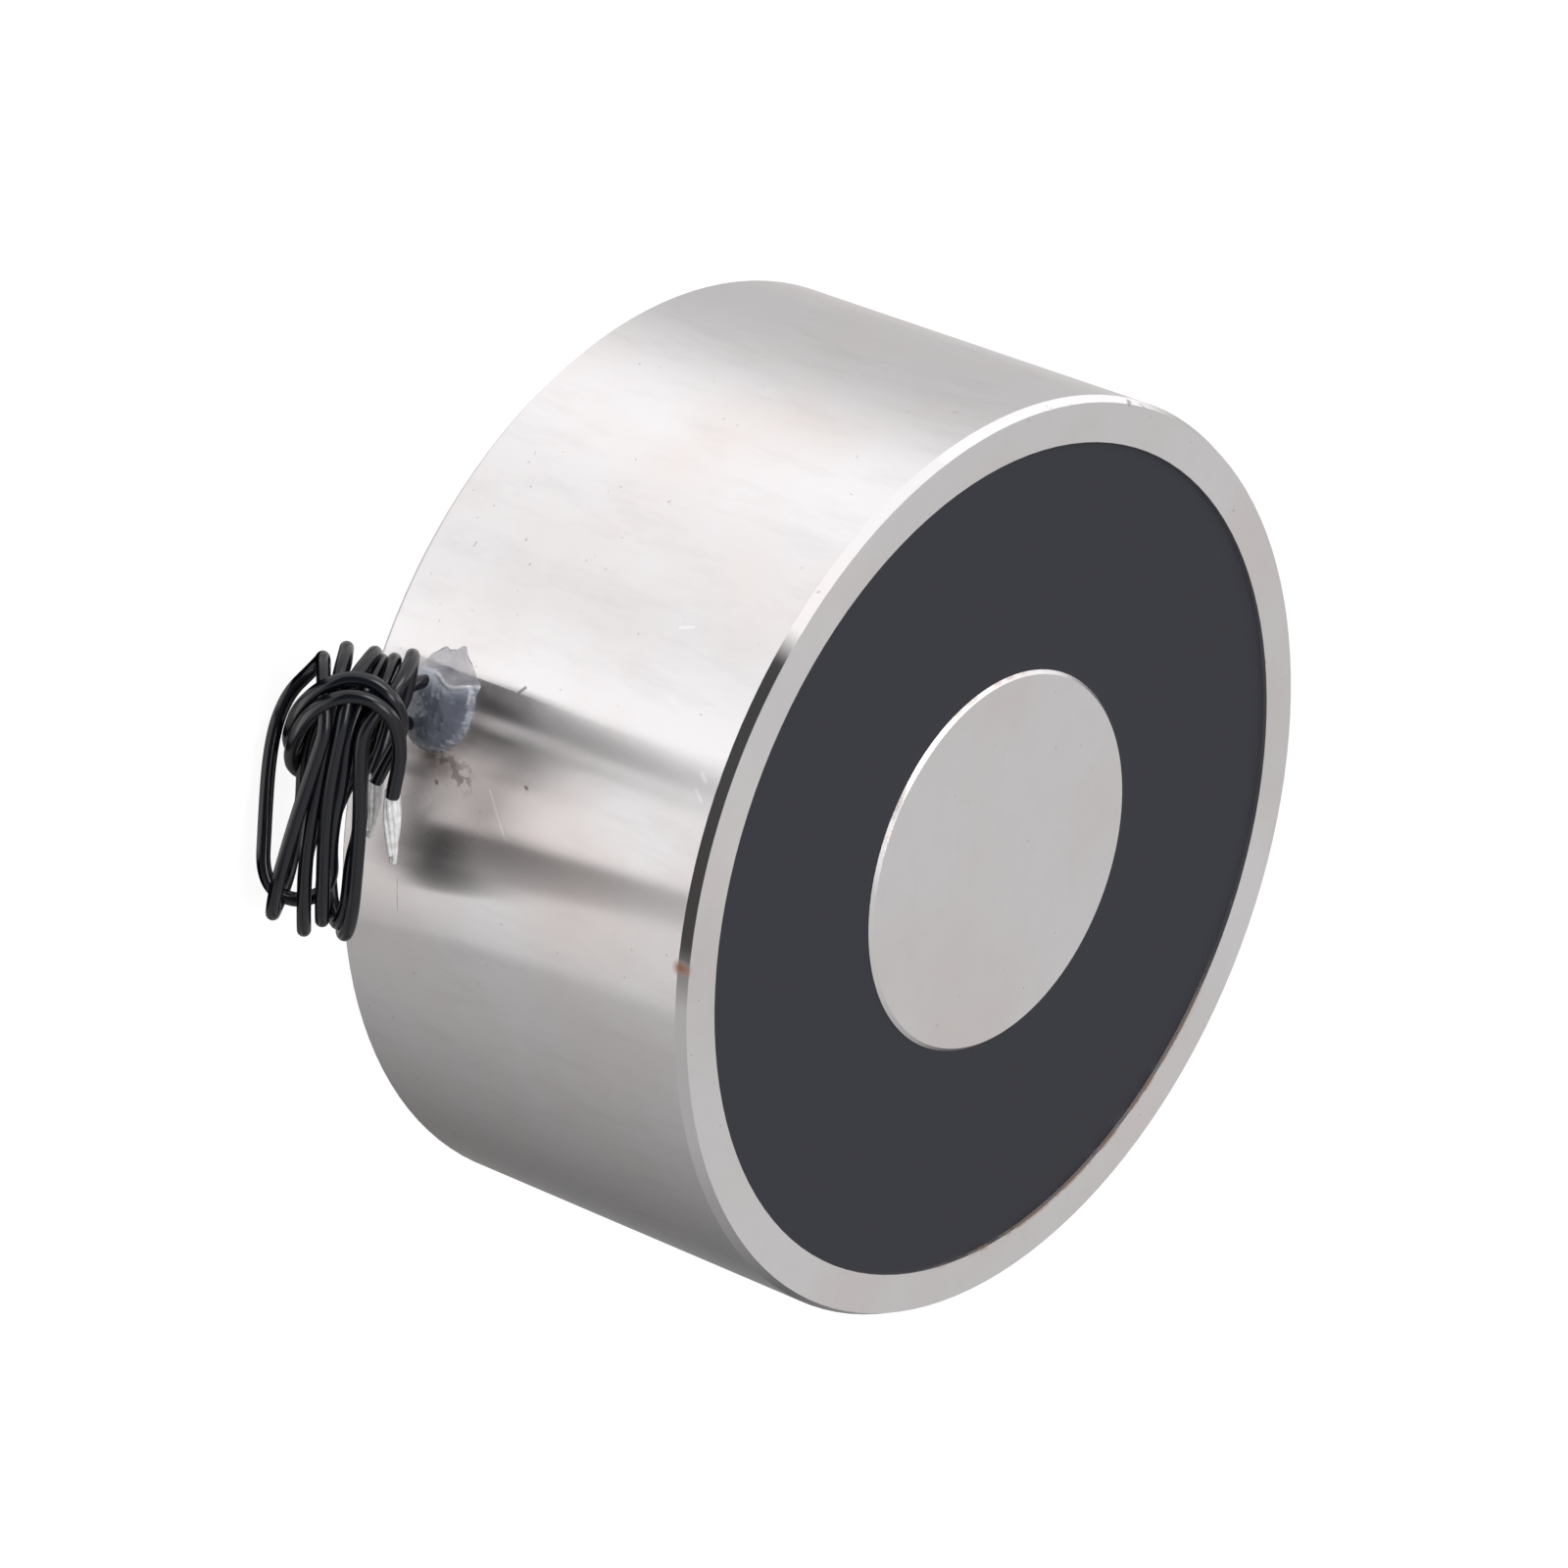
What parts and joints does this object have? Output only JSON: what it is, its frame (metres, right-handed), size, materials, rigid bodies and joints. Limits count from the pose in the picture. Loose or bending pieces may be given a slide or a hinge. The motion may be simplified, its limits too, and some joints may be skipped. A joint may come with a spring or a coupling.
{
  "type": "holding electromagnet",
  "caption": "Round holding electromagnet: steel cup and pole core, potted coil, sealed side cable hole and a tied hank of two bare-ended leads.",
  "frame": {"origin": "centre of the back face, at the mouth of the mounting thread", "axes": "+Z along the magnet's axis from the back face to the holding face; -Y out through the cable hole"},
  "size_m": [0.08, 0.0962, 0.038],
  "materials": {
    "nickel_plated_steel": "satin",
    "moulded_nylon": "matte",
    "enamelled_copper": "gloss",
    "polyester_tape": "gloss",
    "black_epoxy": "matte",
    "shrink_tube": "satin",
    "lead_insulation": "satin",
    "tinned_copper": "gloss",
    "sealant": "gloss"
  },
  "bodies": {
    "root": {"pot": "nickel_plated_steel", "pole_core": "nickel_plated_steel", "bobbin": "moulded_nylon", "coil_winding": "enamelled_copper", "winding_tape": "polyester_tape", "start_tail": "enamelled_copper", "finish_tail": "enamelled_copper", "splice_a": "tinned_copper", "splice_b": "tinned_copper", "sleeve_a": "shrink_tube", "sleeve_b": "shrink_tube", "inner_lead_a": "lead_insulation", "inner_lead_b": "lead_insulation", "potting": "black_epoxy", "cable_seal": "sealant", "lead_tube_a": "lead_insulation", "lead_tube_b": "lead_insulation", "lead_hank": "lead_insulation", "bare_end_a": "tinned_copper", "bare_end_b": "tinned_copper"}
  },
  "joints": []
}
